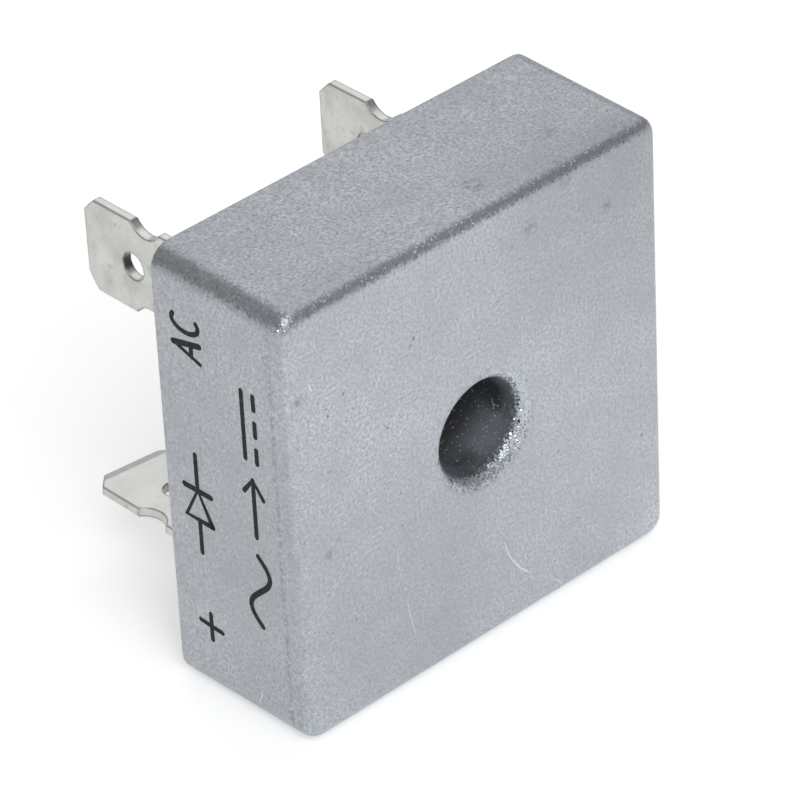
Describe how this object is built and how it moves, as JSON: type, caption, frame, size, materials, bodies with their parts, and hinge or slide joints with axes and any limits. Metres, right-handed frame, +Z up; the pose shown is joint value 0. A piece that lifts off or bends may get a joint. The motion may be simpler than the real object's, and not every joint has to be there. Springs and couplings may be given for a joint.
{
  "type": "bridge rectifier",
  "caption": "Square bridge rectifier in a drawn aluminium case with a central screw hole, standing on its side, with flat quick-connect tabs out of its potted back.",
  "frame": {"origin": "middle of the mounting hole, on the mounting face", "axes": "+Y from the mounting face along the hole to the tabs, +Z up with the part standing on one side of its case, +X to the right seen from the mounting face"},
  "size_m": [0.0286, 0.0222, 0.0286],
  "materials": {
    "case_aluminium": "fine matt blasted aluminium with small specks and scratches",
    "potting_epoxy": "cast black epoxy, slightly glossy",
    "tinned_copper": "smooth satin tin plate over copper",
    "bare_copper": "satin copper sheet",
    "alumina_ceramic": "matt fired alumina",
    "silicon": "dark polished silicon with a glassy edge",
    "solder": "dull reflowed solder",
    "print_ink": "black marking ink, matt"
  },
  "bodies": {
    "root": {"case": "case_aluminium", "potting": "potting_epoxy", "insulator": "alumina_ceramic", "terminal_ac_1": "tinned_copper", "plate_ac_1": "bare_copper", "solder_terminal_ac_1": "solder", "terminal_ac_2": "tinned_copper", "plate_ac_2": "bare_copper", "solder_terminal_ac_2": "solder", "terminal_negative": "tinned_copper", "plate_negative": "bare_copper", "solder_terminal_negative": "solder", "terminal_positive": "tinned_copper", "plate_positive": "bare_copper", "solder_terminal_positive": "solder", "clip_ac_1": "bare_copper", "solder_clip_ac_1": "solder", "clip_ac_2": "bare_copper", "solder_clip_ac_2": "solder", "clip_negative": "bare_copper", "solder_clip_negative": "solder", "die_positive_1": "silicon", "solder_under_die_positive_1": "solder", "solder_over_die_positive_1": "solder", "die_positive_2": "silicon", "solder_under_die_positive_2": "solder", "solder_over_die_positive_2": "solder", "die_negative_1": "silicon", "solder_under_die_negative_1": "solder", "solder_over_die_negative_1": "solder", "die_negative_2": "silicon", "solder_under_die_negative_2": "solder", "solder_over_die_negative_2": "solder"}
  },
  "joints": []
}
